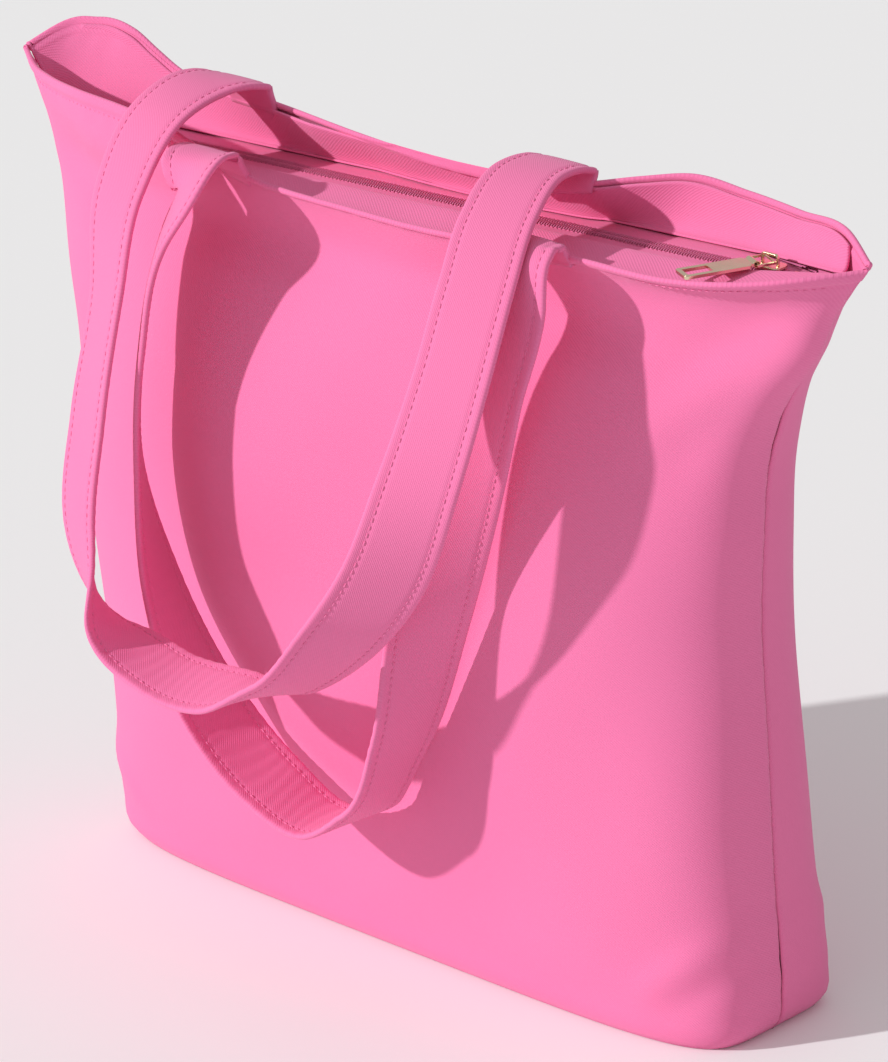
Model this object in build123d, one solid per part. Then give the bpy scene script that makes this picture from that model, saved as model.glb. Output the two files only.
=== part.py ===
from build123d import *
import math
import os

# ---------------------------------------------------------------------------
# Zipped canvas beach tote, standing upright with both handles hanging down
# over its front. Millimetres, +Z up, +X along the mouth, the front at -Y.
# The bag is soft: every cloth piece is drawn in the shape it rests in.
# ---------------------------------------------------------------------------

# The body is drawn about its side seams, then moved to sit centred on the
# ground under the whole part, handles included
FRAME_SHIFT = (0.8, 46.1, 0.0)

# Cloth
CANVAS = 1.6              # one layer of panel canvas
FOLDED = 3.0              # folded and stitched strap, and bound seams
ALLOWANCE = 10.0          # how far the bound seams stand into the bag
SEAM_GAP = 0.25           # half the gap between the two panels at a seam
THREAD = 0.8              # raised line of topstitching

# Mouth
CORNER_X = 267.0          # half the flat width of the mouth
FACING_TUCK = 4.0         # how far the facing starts inside the rim
HEM = 0.22                # stitch line below the rim, share of the top band

# Zip
ZIP_MIDDLE = 356.8        # height of the tapes at the middle of the mouth
ZIP_RISE = 0.036          # climb of the zip towards the slider's end
TAPE_EDGE = 13.6          # outer edge of a zip tape, from the centre line
TAPE = 0.8
COIL_INNER = 0.8
COIL_OUTER = 3.2
COIL = 2.4
ZIP_LEFT = -214.0         # ends of the coils
ZIP_RIGHT = 222.0
SLIDER_X = 211.0          # slider at rest, the zip closed

# Pull
CROWN_RISE = 5.6          # pin of the pull above the zip line
LINK_HALF = 6.0
LINK_REACH = 8.0
WIRE = 0.5
TAB_LENGTH = 31.0
TAB_WIDTH = 12.0
TAB = 1.6
PULL_AHEAD = Vector(-0.42, -0.9, 0.0).normalized()
PULL_ACROSS = Vector(-0.9, 0.42, 0.0).normalized()

# Handles
STRAP_WIDTH = 38.0
STRAP_STEPS = 56
STITCHED_FROM = 4         # sections left without topstitching at each end
ROW_INSET = 5.0           # topstitching from the edges of the strap
ROW_LIFT = 0.2            # its gap from the strap's face
END_DROP = 3.8            # top of a sewn end, below the line the handle turns on
END_HALF = 1.5
END_STEPS = 14

# Levels of the body: height, left and right half-widths, front and back
# depths, squareness of the left and right ends
LEVELS = [
    (0.0, 197.0, 197.0, 47.0, 47.0, 5.0, 5.0),
    (6.0, 202.0, 202.0, 51.0, 50.0, 4.8, 4.6),
    (20.0, 204.0, 204.0, 54.0, 52.0, 4.4, 4.0),
    (55.0, 206.0, 203.0, 59.0, 54.0, 3.6, 3.2),
    (105.0, 210.0, 201.0, 65.0, 56.0, 3.0, 2.7),
    (170.0, 215.0, 200.0, 68.0, 58.0, 2.8, 2.4),
    (235.0, 221.0, 202.0, 66.0, 56.0, 2.7, 2.3),
    (282.0, 228.0, 208.0, 57.0, 47.0, 2.6, 2.3),
    (312.0, 234.0, 221.0, 46.0, 36.0, 2.5, 2.4),
    (336.0, 244.0, 238.0, 35.0, 28.0, 2.3, 2.4),
    (356.0, 251.0, 250.0, 40.0, 25.0, 2.2, 2.2),
]
ABOVE_RIM = 396.0
ACROSS = 24               # divisions of half an outline

# Finished rims, from the left corner to the right corner
FRONT_RIM = [
    (-CORNER_X, -1.0, 378.0), (-250.0, -10.0, 374.0), (-235.0, -15.0, 373.0),
    (-205.0, -24.0, 374.0), (-175.0, -27.0, 373.5), (-140.0, -31.0, 372.0),
    (-100.0, -38.0, 366.5), (-70.0, -41.5, 362.0), (-35.0, -43.0, 360.5),
    (0.0, -43.0, 360.5), (70.0, -43.0, 362.5), (140.0, -42.5, 366.0),
    (190.0, -40.0, 366.5), (220.0, -34.0, 369.5), (250.0, -19.0, 374.0),
    (CORNER_X, -1.0, 376.0),
]
BACK_RIM = [
    (-CORNER_X, 1.0, 379.0), (-260.0, 14.0, 386.0), (-242.0, 26.0, 390.0),
    (-220.0, 28.0, 388.0), (-203.0, 27.0, 381.0), (-188.0, 26.0, 375.0),
    (-140.0, 17.0, 376.0), (-100.0, 9.0, 378.0), (-35.0, 1.0, 377.0),
    (30.0, -3.5, 376.5), (70.0, -2.5, 378.5), (100.0, 1.0, 381.5),
    (125.0, 14.0, 385.5), (145.0, 23.0, 388.0), (175.0, 27.0, 385.0),
    (210.0, 22.0, 384.5), (245.0, 12.0, 386.0), (CORNER_X, 1.0, 378.0),
]

# Centre lines of the handles from the left end to the right end, each with
# the direction across the strap from its front edge to its rear edge
FRONT_HANDLE = [
    ((-88.0, -45.0, 372.0), (-1.0, 0.0, 0.0)),
    ((-88.0, -48.0, 372.7), (-1.0, 0.0, 0.0)),
    ((-87.6, -51.5, 373.0), (-1.0, 0.0, 0.0)),
    ((-84.5, -58.0, 372.0), (-0.99, 0.08, -0.05)),
    ((-80.0, -69.0, 363.0), (-0.88, 0.3, -0.36)),
    ((-90.5, -76.5, 339.0), (-0.76, 0.55, -0.35)),
    ((-103.0, -84.0, 285.0), (-0.73, 0.6, -0.33)),
    ((-106.0, -89.0, 230.0), (-0.68, 0.66, -0.31)),
    ((-93.0, -90.0, 169.0), (-0.28, 0.94, -0.2)),
    ((-64.0, -90.0, 118.0), (0.0, 0.98, 0.14)),
    ((-28.0, -90.0, 91.0), (-0.08, 0.98, 0.2)),
    ((5.0, -90.0, 80.0), (-0.25, 0.95, 0.0)),
    ((36.0, -90.0, 95.0), (-0.35, 0.84, -0.42)),
    ((58.0, -88.0, 133.0), (-0.1, 0.9, -0.42)),
    ((78.0, -86.0, 196.0), (0.45, 0.82, -0.3)),
    ((98.0, -81.0, 263.0), (0.88, 0.46, 0.0)),
    ((111.0, -75.0, 310.0), (0.97, 0.18, 0.1)),
    ((119.0, -66.0, 344.0), (0.98, 0.08, 0.1)),
    ((117.0, -58.0, 367.2), (0.99, 0.0, 0.05)),
    ((115.2, -52.0, 371.0), (1.0, 0.0, 0.0)),
    ((115.0, -48.0, 371.6), (1.0, 0.0, 0.0)),
    ((115.0, -45.0, 371.6), (1.0, 0.0, 0.0)),
]
BACK_HANDLE = [
    ((-119.0, 4.0, 387.5), (-1.0, 0.0, 0.0)),
    ((-119.0, -1.0, 389.2), (-1.0, 0.0, 0.0)),
    ((-122.5, -16.0, 391.3), (-1.0, 0.0, 0.05)),
    ((-125.0, -42.0, 384.5), (-1.0, 0.05, 0.0)),
    ((-123.0, -73.0, 354.0), (-0.97, 0.14, -0.08)),
    ((-115.0, -93.0, 310.0), (-0.92, 0.3, -0.25)),
    ((-116.0, -109.0, 255.0), (-0.91, 0.3, -0.29)),
    ((-114.0, -120.0, 205.0), (-0.9, 0.38, -0.15)),
    ((-90.0, -128.0, 169.0), (-0.76, 0.6, 0.25)),
    ((-50.0, -131.0, 154.0), (-0.75, 0.64, 0.16)),
    ((-7.0, -131.0, 155.0), (-0.78, 0.61, -0.05)),
    ((30.0, -131.0, 167.0), (-0.45, 0.7, -0.55)),
    ((60.0, -127.0, 194.0), (0.15, 0.74, -0.62)),
    ((87.0, -121.0, 230.0), (0.65, 0.65, -0.38)),
    ((104.0, -113.0, 275.0), (0.92, 0.36, 0.0)),
    ((112.0, -98.0, 320.0), (0.95, 0.28, 0.13)),
    ((110.0, -77.0, 358.0), (0.95, 0.3, 0.08)),
    ((100.0, -52.0, 380.0), (0.95, 0.25, 0.03)),
    ((89.0, -18.0, 391.0), (0.98, 0.1, 0.0)),
    ((88.0, -1.0, 389.3), (1.0, 0.0, 0.0)),
    ((88.0, 4.0, 387.5), (1.0, 0.0, 0.0)),
]


def mix(a, b, share):
    """The value a share of the way from a to b."""
    return a + (b - a) * share


def along(rim, x):
    """Depth and height of a rim at x, on a smooth curve through its points."""
    x = min(max(x, rim[0][0]), rim[-1][0])
    i = max(k for k in range(len(rim) - 1) if rim[k][0] <= x + 1e-9)
    left = rim[i]
    right = rim[i + 1]
    before = rim[max(i - 1, 0)]
    after = rim[min(i + 2, len(rim) - 1)]
    span = right[0] - left[0]
    t = (x - left[0]) / span
    values = []
    for k in (1, 2):
        rise_in = (right[k] - before[k]) / (right[0] - before[0]) * span
        rise_out = (after[k] - left[k]) / (after[0] - left[0]) * span
        value = (2 * t**3 - 3 * t**2 + 1) * left[k] + (t**3 - 2 * t**2 + t) * rise_in
        value += (3 * t**2 - 2 * t**3) * right[k] + (t**3 - t**2) * rise_out
        values.append(value)
    return values


def half_outline(level, side, inset):
    """Half the outline of the body at one level, from left seam to right."""
    z, left, right, front, back, left_power, right_power = level
    depth = (front if side < 0 else back) - inset
    points = []
    for i in range(ACROSS + 1):
        angle = math.pi * (1 - i / ACROSS)
        cosine = math.cos(angle)
        power = left_power if cosine < 0 else right_power
        reach = (left if cosine < 0 else right) - inset
        x = math.copysign(abs(cosine) ** (2 / power), cosine) * reach
        y = side * depth * abs(math.sin(angle)) ** (2 / power)
        points.append((x, y, z))
    return points


def flared_half(side, inset):
    """Half an outline above the rim, in line with the flare of the mouth."""
    rim = FRONT_RIM if side < 0 else BACK_RIM
    level = LEVELS[-1]
    points = []
    for x, y, z in half_outline(level, side, 0.0):
        reach = level[1] if x < 0 else level[2]
        rim_x = x + (CORNER_X - reach) * (x / reach) ** 3
        rim_y, rim_z = along(rim, rim_x)
        share = (ABOVE_RIM - z) / (rim_z - z)
        above_y = mix(y, rim_y, share) - side * inset * math.sin(math.acos(x / reach)) ** 0.5
        above_x = mix(x, rim_x, share) * (1 - inset / CORNER_X)
        if abs(x) > 0.95 * reach:
            above_y = side * max(side * above_y, 3.0)
        if abs(x) > 0.999 * reach:
            above_y = 0.0
            above_x = math.copysign(CORNER_X + 13 - inset, x)
        points.append((above_x, above_y, ABOVE_RIM))
    return points


def outline_face(front_half, back_half):
    """A flat face inside a front half outline and a back half outline."""
    ring = front_half[:-1] + back_half[::-1][:-1]
    return Face(Wire([Spline(*ring, periodic=True)]))


def envelope(inset, lift):
    """The body as one solid, its outline drawn in by an even amount."""
    faces = []
    for level in LEVELS:
        raised = (max(level[0], lift),) + level[1:]
        front_half = half_outline(raised, -1, inset)
        back_half = half_outline(raised, 1, inset)
        if not faces or raised[0] > faces[-1].center().Z + 1:
            faces.append(outline_face(front_half, back_half))
    faces.append(outline_face(flared_half(-1, inset), flared_half(1, inset)))
    return loft(faces, ruled=True)


def above(rim, side):
    """Everything over one finished rim, on one side of the mouth."""
    xs = [mix(-CORNER_X, CORNER_X, i / 40) for i in range(41)]
    line = [(x, 0.0, along(rim, x)[1]) for x in xs]
    edge = Spline(*line)
    far = CORNER_X + 20
    left = line[0][2]
    right = line[-1][2]
    top = ABOVE_RIM + 20
    corners = [line[-1], (far, 0, right), (far, 0, top), (-far, 0, top)]
    corners += [(-far, 0, left), line[0]]
    face = Face(Wire([edge] + [Line(a, b) for a, b in zip(corners, corners[1:])]))
    return extrude(face, amount=140, dir=(0, side, 0))


def panel(side, outer, inner):
    """Front or back panel, running from its rim in under the base."""
    rim = FRONT_RIM if side < 0 else BACK_RIM
    half = Pos(0, side * (SEAM_GAP + 100), 200) * Box(700, 200, 460)
    return (outer - inner) & half - above(rim, side)


def zip_height(x):
    """Height of the zip's centre line."""
    return ZIP_MIDDLE + ZIP_RISE * x


def panel_depth(side, x, z):
    """Distance of a panel's outer face from the middle plane, near its rim."""
    rim_y, rim_z = along(FRONT_RIM if side < 0 else BACK_RIM, x)
    level = LEVELS[-1]
    reach = level[1] if x < 0 else level[2]
    power = level[5] if x < 0 else level[6]
    depth = level[3] if side < 0 else level[4]
    share = max((z - level[0]) / (rim_z - level[0]), 0.0)
    low_x = x
    for _ in range(8):
        low_x = x - (CORNER_X - reach) * (low_x / reach) ** 3 * share
    low_x = min(abs(low_x), reach)
    low_y = depth * (1 - (low_x / reach) ** power) ** (1 / power)
    return mix(low_y, side * rim_y, share)


def tape_edge(x):
    """Distance of a tape's outer edge from the centre line."""
    return max(TAPE_EDGE * min(1.0, (256 - abs(x)) / 60), 2.2)


def strip(xs, section):
    """A long thin piece through four-cornered sections across the mouth."""
    faces = []
    for x in xs:
        points = [Vector(x, y, z) for y, z in section(x)]
        faces.append(Face(Polyline(*points, close=True)))
    return loft(faces, ruled=True)


def steps(first, last, count):
    """Even steps from first to last."""
    return [mix(first, last, i / count) for i in range(count + 1)]


def facing_section(side):
    """Section of a facing, sloping from the zip tape up to the rim."""
    rim = FRONT_RIM if side < 0 else BACK_RIM

    def section(x):
        rim_y, rim_z = along(rim, x)
        low_z = zip_height(x) + 1.0 + max(0.0, (abs(x) - 190) / 60) * 4
        low_y = side * min(tape_edge(x), panel_depth(side, x, low_z) - 2 * CANVAS - 1.2)
        top_z = rim_z - 1.2
        room = min(panel_depth(side, x, top_z - CANVAS), side * rim_y)
        top_y = side * (room - FACING_TUCK)
        length = math.hypot(top_y - low_y, top_z - low_z)
        out_y = side * (top_z - low_z) / length * CANVAS
        out_z = -side * (top_y - low_y) / length * CANVAS
        low = (low_y, low_z)
        top = (top_y, top_z)
        return [low, top, (top_y + out_y, top_z + out_z), (low_y + out_y, low_z + out_z)]

    return section


def band_section(side, inner, outer, low, high):
    """Section of a flat band beside the zip's centre line."""
    def section(x):
        z = zip_height(x)
        edge = min(outer, tape_edge(x) - 0.4)
        a = side * inner
        b = side * edge
        return [(a, z + low), (b, z + low), (b, z + high), (a, z + high)]

    return section


def rim_stitch_section(side):
    """Section of the topstitching that holds the hem, outside the panel."""
    rim = FRONT_RIM if side < 0 else BACK_RIM

    def section(x):
        z = mix(along(rim, x)[1], LEVELS[-1][0], HEM)
        widest = max(panel_depth(side, x, z), panel_depth(side, x, z + THREAD))
        y = side * (widest + 0.5)
        return [(y, z), (y + side * THREAD, z), (y + side * THREAD, z + THREAD), (y, z + THREAD)]

    return section


def seam_strip(side):
    """Bound allowance of a side seam, standing into the bag."""
    column = 1 if side < 0 else 2
    rows = [(level[column] - CANVAS - 1.2, level[0]) for level in LEVELS[3:-1]]
    outer = [(side * w, 0, z) for w, z in rows]
    inner = [(side * (w - ALLOWANCE), 0, z) for w, z in rows]
    face = Face(Polyline(*(outer + inner[::-1]), close=True))
    return extrude(face, amount=FOLDED / 2, dir=(0, 1, 0), both=True)


def strap_line(stations, column):
    """A smooth line through one column of a handle's stations."""
    return Spline(*[station[column] for station in stations])


def strap(stations, offset, thickness, near, far, first=0, last=STRAP_STEPS):
    """A strap, or a line of stitching on it, along a handle's stations."""
    middle = strap_line(stations, 0)
    places = [middle.param_at_point(Vector(*station[0])) for station in stations]
    faces = []
    for i in range(first, last + 1):
        share = i / STRAP_STEPS
        point = middle @ share
        ahead = middle % share
        k = max(n for n in range(len(places) - 1) if places[n] <= share + 1e-9)
        part = (share - places[k]) / (places[k + 1] - places[k])
        part = part * part * (3 - 2 * part) * 0.5 + part * 0.5
        before = Vector(*stations[k][1])
        after = Vector(*stations[k + 1][1])
        across = before * (1 - part) + after * part
        across = (across - ahead * across.dot(ahead)).normalized()
        out = ahead.cross(across).normalized()
        low = point + out * (offset - thickness / 2)
        high = point + out * (offset + thickness / 2)
        corners = [low + across * near, low + across * far]
        corners += [high + across * far, high + across * near]
        faces.append(Face(Polyline(*corners, close=True)))
    return loft(faces, ruled=True)


def strap_stitching(stations):
    """Two rows of topstitching on the outer face of a handle."""
    offset = -(FOLDED + THREAD) / 2 - ROW_LIFT
    edge = STRAP_WIDTH / 2 - ROW_INSET
    last = STRAP_STEPS - STITCHED_FROM
    rows = []
    for place in (edge, -edge):
        near = place - THREAD / 2
        far = place + THREAD / 2
        rows.append(strap(stations, offset, THREAD, near, far, STITCHED_FROM, last))
    return Compound(rows)


def sewn_end(root, side):
    """End of a strap, rising from between the panel and its facing."""
    rim = FRONT_RIM if side < 0 else BACK_RIM
    x = root[0]

    def section(at):
        rim_y, rim_z = along(rim, at)
        low = rim_z + 0.4
        high = root[2] - END_DROP
        y = root[1] - side * SEAM_GAP
        return [
            (rim_y - END_HALF, low), (rim_y + END_HALF, low),
            (y + END_HALF, max(high, low + 0.5)), (y - END_HALF, max(high, low + 0.5)),
        ]

    half = STRAP_WIDTH / 2 - 0.5
    return strip(steps(x - half, x + half, END_STEPS), section)


def zip_place(x, y, z):
    """A place over the zip, raised from its centre line."""
    return Pos(x, y, zip_height(x) + z)


def slider_body():
    """Upper and lower plates joined by the divider between the coils."""
    upper = Box(14, 9, 1.6)
    upper = fillet(upper.edges().filter_by(Axis.Z), 2.5)
    lower = fillet(Box(14, 9, 1.4).edges().filter_by(Axis.Z), 2.5)
    plates = zip_place(SLIDER_X, 0, 2.6) * upper
    plates += zip_place(SLIDER_X, 0, -2.5) * lower
    return plates + zip_place(SLIDER_X + 3, 0, 0) * Box(6, 0.9, 5.0)


def slider_crown():
    """Arch over the slider that carries the pull."""
    solid = Box(9.8, 1.6, 5.0, align=(Align.CENTER, Align.CENTER, Align.MIN))
    solid = fillet(solid.edges().filter_by(Axis.Y).group_by(Axis.Z)[-1], 2.0)
    window = Box(7.8, 3, 3.8, align=(Align.CENTER, Align.CENTER, Align.MIN))
    return zip_place(SLIDER_X, 0, 3.42) * (solid - window)


def pull_plane(distance, rise=0.0):
    """Frame of the pull: x across it, y along it, a distance from its pin."""
    pin = Vector(SLIDER_X, 0, zip_height(SLIDER_X) + CROWN_RISE)
    up = PULL_ACROSS.cross(PULL_AHEAD)
    up = up if up.Z > 0 else up * -1
    return Plane(pin + PULL_AHEAD * distance + up * rise, x_dir=PULL_ACROSS, z_dir=up)


def pull_link():
    """Wire loop through the crown, carrying the tab."""
    frame = pull_plane(0)
    sign = 1 if frame.y_dir.dot(PULL_AHEAD) > 0 else -1
    bar = Cylinder(WIRE, 2 * (LINK_HALF + WIRE), rotation=(0, 90, 0))
    loop = bar + Pos(0, sign * LINK_REACH, 0) * bar
    for x in (-LINK_HALF, LINK_HALF):
        loop += Pos(x, sign * LINK_REACH / 2, 0) * Box(2 * WIRE, LINK_REACH, 2 * WIRE)
    return frame.location * loop


def pull_tab():
    """Flat tab with a rolled eye at the link and a window at its far end."""
    frame = pull_plane(0)
    sign = 1 if frame.y_dir.dot(PULL_AHEAD) > 0 else -1
    eye = Cylinder(1.7, 8.4, rotation=(0, 90, 0)) - Cylinder(1.1, 9, rotation=(0, 90, 0))
    neck = Pos(0, sign * 2.1, 0) * Box(8.4, 2.0, TAB)
    plate = fillet(Box(TAB_WIDTH, TAB_LENGTH, TAB).edges().filter_by(Axis.Z), 1.6)
    plate = plate - Pos(0, sign * (TAB_LENGTH / 2 - 8), 0) * Box(7.4, 11.5, 3)
    tab = eye + neck + Pos(0, sign * (2.6 + TAB_LENGTH / 2), 0) * plate
    return frame.location * (Pos(0, sign * LINK_REACH, 0) * tab)


def largest(shape):
    """The biggest solid of a shape, leaving slivers out."""
    return max(shape.solids(), key=lambda piece: piece.volume)


def build():
    """Every separate piece of the bag by name."""
    outer = envelope(0.0, 0.0)
    inner = envelope(CANVAS, CANVAS)
    panels = {side: panel(side, outer, inner) for side in (-1, 1)}
    straps = {}
    for side, stations in ((-1, FRONT_HANDLE), (1, BACK_HANDLE)):
        straps[side] = strap(stations, 0, FOLDED, -STRAP_WIDTH / 2, STRAP_WIDTH / 2)
    front_ends = [sewn_end(FRONT_HANDLE[k][0], -1) for k in (0, -1)]
    back_ends = [sewn_end(BACK_HANDLE[k][0], 1) for k in (0, -1)]
    parts = {
        "front_panel": panels[-1],
        "back_panel": panels[1],
        "left_side_seam": seam_strip(-1),
        "right_side_seam": seam_strip(1),
        "bottom_seam": Pos(0, 0, 7.2) * Box(368, FOLDED, ALLOWANCE),
        "left_corner_seam": Pos(-187.5, 0, 16) * Box(ALLOWANCE, 64, FOLDED),
        "right_corner_seam": Pos(187.5, 0, 16) * Box(ALLOWANCE, 64, FOLDED),
        "front_handle": straps[-1],
        "back_handle": straps[1],
        "front_handle_stitching": strap_stitching(FRONT_HANDLE),
        "back_handle_stitching": strap_stitching(BACK_HANDLE),
        "front_handle_ends": Compound(front_ends),
        "back_handle_ends": Compound(back_ends),
        "zip_slider_body": slider_body(),
        "slider_crown": slider_crown(),
        "pull_link": pull_link(),
        "pull_tab": pull_tab(),
        "zip_top_stops": Compound([
            zip_place(ZIP_RIGHT + 2.4, y, 0) * Box(3, 2.2, 3) for y in (-2.0, 2.0)
        ]),
        "zip_bottom_stop": zip_place(ZIP_LEFT - 2.4, 0, 0) * Box(3, 6, 3),
    }
    for name, side in (("front", -1), ("back", 1)):
        wide = steps(-248, 250, 44)
        facing = strip(wide, facing_section(side)) - panels[side]
        parts[name + "_facing"] = Compound([largest(facing)])
        tape = band_section(side, COIL_OUTER + 0.2, TAPE_EDGE, -TAPE / 2, TAPE / 2)
        parts[name + "_zip_tape"] = strip(steps(-236, 238, 30), tape)
        coil = band_section(side, COIL_INNER, COIL_OUTER, -COIL / 2, COIL / 2)
        parts[name + "_zip_coil"] = strip(steps(ZIP_LEFT, ZIP_RIGHT, 2), coil)
        stitch = rim_stitch_section(side)
        row = strip(steps(-248, 248, 60), stitch) - panels[side]
        parts[name + "_rim_stitching"] = Compound([piece for piece in row.solids() if piece.volume > 1])
    return parts


os.makedirs("parts", exist_ok=True)
for name, shape in build().items():
    export_step(Pos(*FRAME_SHIFT) * shape, "parts/" + name + ".step")
    print(name, round(shape.volume), shape.is_valid)
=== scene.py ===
import bmesh
import bpy
import math
import numpy as np
from mathutils import Matrix, Vector


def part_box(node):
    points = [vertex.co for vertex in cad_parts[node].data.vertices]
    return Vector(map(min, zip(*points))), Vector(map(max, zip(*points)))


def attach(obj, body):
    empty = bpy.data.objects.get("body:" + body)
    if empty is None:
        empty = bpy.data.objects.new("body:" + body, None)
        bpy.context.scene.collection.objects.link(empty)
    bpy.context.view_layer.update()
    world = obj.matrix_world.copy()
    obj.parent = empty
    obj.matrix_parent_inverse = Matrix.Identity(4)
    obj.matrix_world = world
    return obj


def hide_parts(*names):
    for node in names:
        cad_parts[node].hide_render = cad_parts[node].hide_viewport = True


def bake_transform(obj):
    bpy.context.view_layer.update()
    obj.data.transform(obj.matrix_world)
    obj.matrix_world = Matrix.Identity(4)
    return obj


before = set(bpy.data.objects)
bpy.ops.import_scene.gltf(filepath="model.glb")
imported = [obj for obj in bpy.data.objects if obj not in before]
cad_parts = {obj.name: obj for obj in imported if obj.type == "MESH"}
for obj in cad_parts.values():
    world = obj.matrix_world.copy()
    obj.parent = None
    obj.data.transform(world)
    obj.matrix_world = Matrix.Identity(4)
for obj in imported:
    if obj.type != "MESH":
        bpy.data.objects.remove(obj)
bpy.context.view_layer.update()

# ---------------------------------------------------------------------------
# Zipped canvas beach tote with two long handles hanging over its front.
# Shapes are drawn in millimetres about the middle of the bottom seam, with
# +X along the mouth, the front at -Y and +Z up, then put in place in metres.
# ---------------------------------------------------------------------------

MM = 0.001
bottom_low, bottom_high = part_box("bottom_seam")
MIDDLE = np.array([(bottom_low.x + bottom_high.x) / 2, (bottom_low.y + bottom_high.y) / 2, 0.0])
FRONT = -1
BACK = 1

# Cloth
CANVAS = 1.6               # one layer of panel canvas
STRAP = 3.0                # folded strap
STRAP_WIDTH = 38.0
ROW_INSET = 5.0            # stitch rows from the edges of a strap
SEAM_GAP = 0.25
SEAM_TOUCH = 0.02          # half the gap where the two panels are sewn together
SEAM_TURN = 1.1            # how far, and over what width, the cloth turns in at a seam
REAR_SQUARE = 1.35         # the rear right edge is fuller than the front one
HEM_ROW = 4.4              # stitch row below the rim
HEM_SWELL = 0.9            # extra thickness of the turned rim
THREAD = 0.42              # radius of a stitch
PANEL_ACROSS = 505.0       # cloth of a panel from seam to seam
BASE_EDGE_LIFT = 0.6       # the lowest level's edge above the floor
BASE_INSET = (0.985, 0.95, 0.0)  # edge of the flat base, as shares of the lowest level
BASE_STEPS = 9
HEM_BAND = 14.0            # closely drawn band under the rim
HEM_STEPS = 16
FACING_CLOTH = 1.1
STITCH_LIFT = 0.12         # stitches above the cloth

# Mouth and zip
CORNER_X = 267.0
ZIP_MIDDLE = 356.8
ZIP_RISE = 0.036
TAPE_EDGE = 13.6
TAPE = 0.6
COIL_PITCH = 1.5
ZIP_LEFT = -214.0
ZIP_RIGHT = 222.0

# Height, left and right half-widths, front and back depths, squareness of
# the left and right ends
LEVELS = [
    (0.0, 197.0, 197.0, 47.0, 47.0, 5.0, 5.0),
    (6.0, 202.0, 202.0, 51.0, 50.0, 4.8, 4.6),
    (20.0, 204.0, 204.0, 54.0, 52.0, 4.4, 4.0),
    (55.0, 206.0, 203.0, 59.0, 54.0, 3.6, 3.2),
    (105.0, 210.0, 201.0, 65.0, 56.0, 3.0, 2.7),
    (170.0, 215.0, 200.0, 68.0, 58.0, 2.8, 2.4),
    (235.0, 221.0, 202.0, 66.0, 56.0, 2.7, 2.3),
    (282.0, 228.0, 208.0, 57.0, 47.0, 2.6, 2.3),
    (312.0, 234.0, 221.0, 46.0, 36.0, 2.5, 2.4),
    (336.0, 244.0, 238.0, 35.0, 28.0, 2.3, 2.4),
    (356.0, 251.0, 250.0, 40.0, 25.0, 2.2, 2.2),
]
RIMS = {
    FRONT: [
        (-CORNER_X, -1.0, 378.0), (-250.0, -10.0, 374.0), (-235.0, -15.0, 373.0),
        (-205.0, -24.0, 374.0), (-175.0, -27.0, 373.5), (-140.0, -31.0, 372.0),
        (-100.0, -38.0, 366.5), (-70.0, -41.5, 362.0), (-35.0, -43.0, 360.5),
        (0.0, -43.0, 360.5), (70.0, -43.0, 362.5), (140.0, -42.5, 366.0),
        (190.0, -40.0, 366.5), (220.0, -34.0, 369.5), (250.0, -19.0, 374.0),
        (CORNER_X, -1.0, 376.0),
    ],
    BACK: [
        (-CORNER_X, 1.0, 379.0), (-260.0, 14.0, 386.0), (-242.0, 26.0, 390.0),
        (-220.0, 28.0, 388.0), (-203.0, 27.0, 381.0), (-188.0, 26.0, 375.0),
        (-140.0, 17.0, 376.0), (-100.0, 9.0, 378.0), (-35.0, 1.0, 377.0),
        (30.0, -3.5, 376.5), (70.0, -2.5, 378.5), (100.0, 1.0, 381.5),
        (125.0, 14.0, 385.5), (145.0, 23.0, 388.0), (175.0, 27.0, 385.0),
        (210.0, 22.0, 384.5), (245.0, 12.0, 386.0), (CORNER_X, 1.0, 378.0),
    ],
}

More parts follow.
